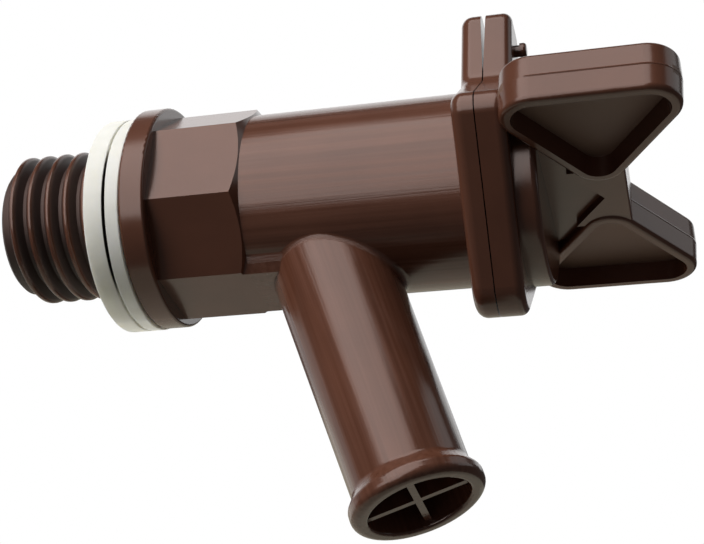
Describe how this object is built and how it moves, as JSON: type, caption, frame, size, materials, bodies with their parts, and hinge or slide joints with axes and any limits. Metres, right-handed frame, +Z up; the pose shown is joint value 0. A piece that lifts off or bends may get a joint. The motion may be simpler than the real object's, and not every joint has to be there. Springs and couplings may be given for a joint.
{
  "type": "barrel tap",
  "caption": "Moulded barrel tap with a coarse threaded stub, flange, octagon, leaning spout and a bow-tie key that turns a plug valve.",
  "frame": {"origin": "on the barrel's axis, in the plane of the flange's back face", "axes": "+X along the barrel from the container to the handle, +Z up, spout down"},
  "size_m": [0.1168, 0.0586, 0.0847],
  "materials": {
    "brown_plastic": "satin",
    "pale_rubber": "matt",
    "black_rubber": "matt"
  },
  "bodies": {
    "tap_body": {"body": "brown_plastic", "outer_gasket": "pale_rubber", "inner_gasket": "pale_rubber"},
    "turning_key": {"key": "brown_plastic", "rear_seal": "black_rubber", "front_seal": "black_rubber", "port_pad": "black_rubber"}
  },
  "joints": [
    {"name": "key_turn", "type": "hinge", "parent": "tap_body", "child": "turning_key", "pos_m": [0.0604, 0, 0], "axis": [1, 0, 0], "range_deg": [0, 90]}
  ]
}
